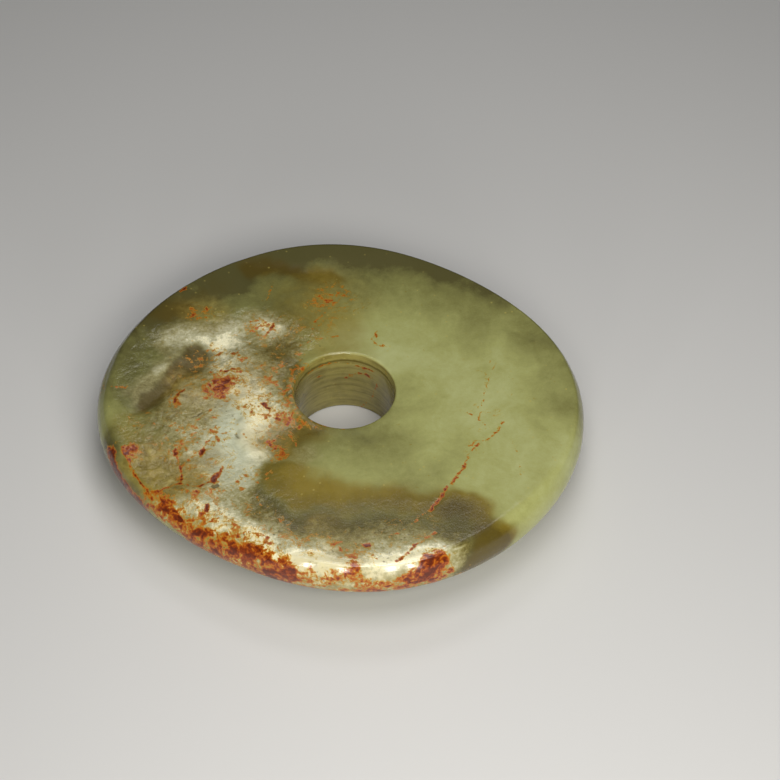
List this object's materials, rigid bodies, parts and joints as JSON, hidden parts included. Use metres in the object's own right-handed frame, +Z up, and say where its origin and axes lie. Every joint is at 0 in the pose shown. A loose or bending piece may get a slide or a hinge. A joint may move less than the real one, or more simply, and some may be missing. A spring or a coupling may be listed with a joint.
{
  "type": "jade bi disc",
  "caption": "Thick, slightly out-of-round nephrite disc with a drilled central hole, a flat top, a convex rim and a bulging underside that rests on a flat ring.",
  "frame": {"origin": "under the middle of the plan's bounding box, at the height of the flat ring it rests on", "axes": "+Z up out of the flat top, +X along the longer side of the plan, to the right with the russet rim nearest; the hole's axis is upright at x 1.1 mm, y 1.9 mm"},
  "size_m": [0.12, 0.1108, 0.0204],
  "materials": {
    "nephrite": "polished celadon nephrite with olive clouding, an opaque grey-white altered zone and russet skin stains along veins and the rim"
  },
  "bodies": {
    "root": {"disc": "nephrite"}
  },
  "joints": []
}
